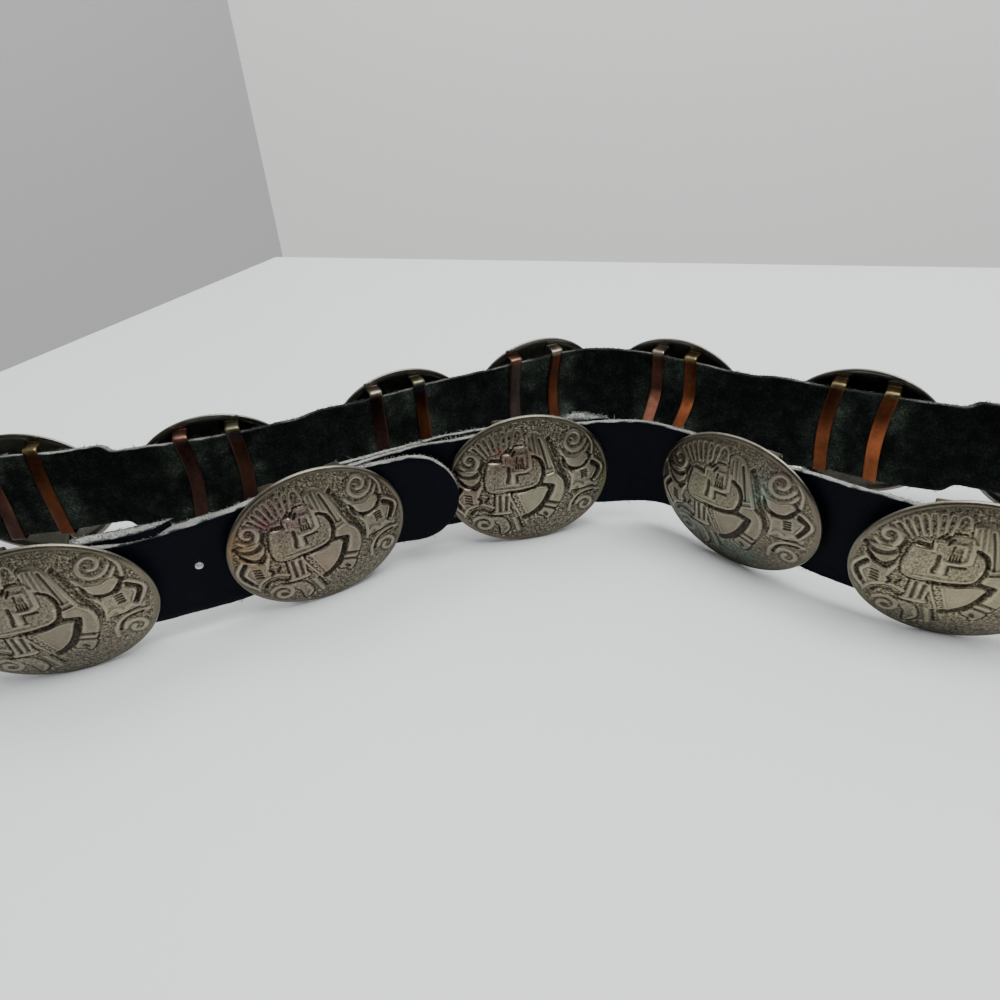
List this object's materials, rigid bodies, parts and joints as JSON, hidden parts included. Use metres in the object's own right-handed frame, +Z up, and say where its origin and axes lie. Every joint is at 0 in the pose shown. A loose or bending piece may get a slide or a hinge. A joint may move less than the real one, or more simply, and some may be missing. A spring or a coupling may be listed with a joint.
{
  "type": "concho belt",
  "caption": "Leather belt with domed oval metal conchos that slide on it by copper loops, fastened and standing on its edge in a closed loop",
  "frame": {"origin": "middle of the belt's floor outline, on the floor", "axes": "+X to the viewer's right along the belt's long way, +Y away from the viewer, +Z up"},
  "size_m": [0.4204, 0.1488, 0.0486],
  "materials": {
    "black_leather": "smooth satin black outside, napped dark suede inside, pale fuzzy cut edges",
    "aged_silver": "aged nickel silver with dark recesses and tarnish, copper loops behind"
  },
  "bodies": {
    "root": {"main_strap": "black_leather", "tail_strap": "black_leather", "buckle_concho": "aged_silver", "concho_01": "aged_silver", "concho_02": "aged_silver", "concho_03": "aged_silver", "concho_04": "aged_silver", "concho_05": "aged_silver", "concho_06": "aged_silver", "concho_07": "aged_silver", "concho_08": "aged_silver", "concho_09": "aged_silver", "concho_10": "aged_silver", "concho_11": "aged_silver", "concho_12": "aged_silver", "concho_13": "aged_silver"}
  },
  "joints": []
}
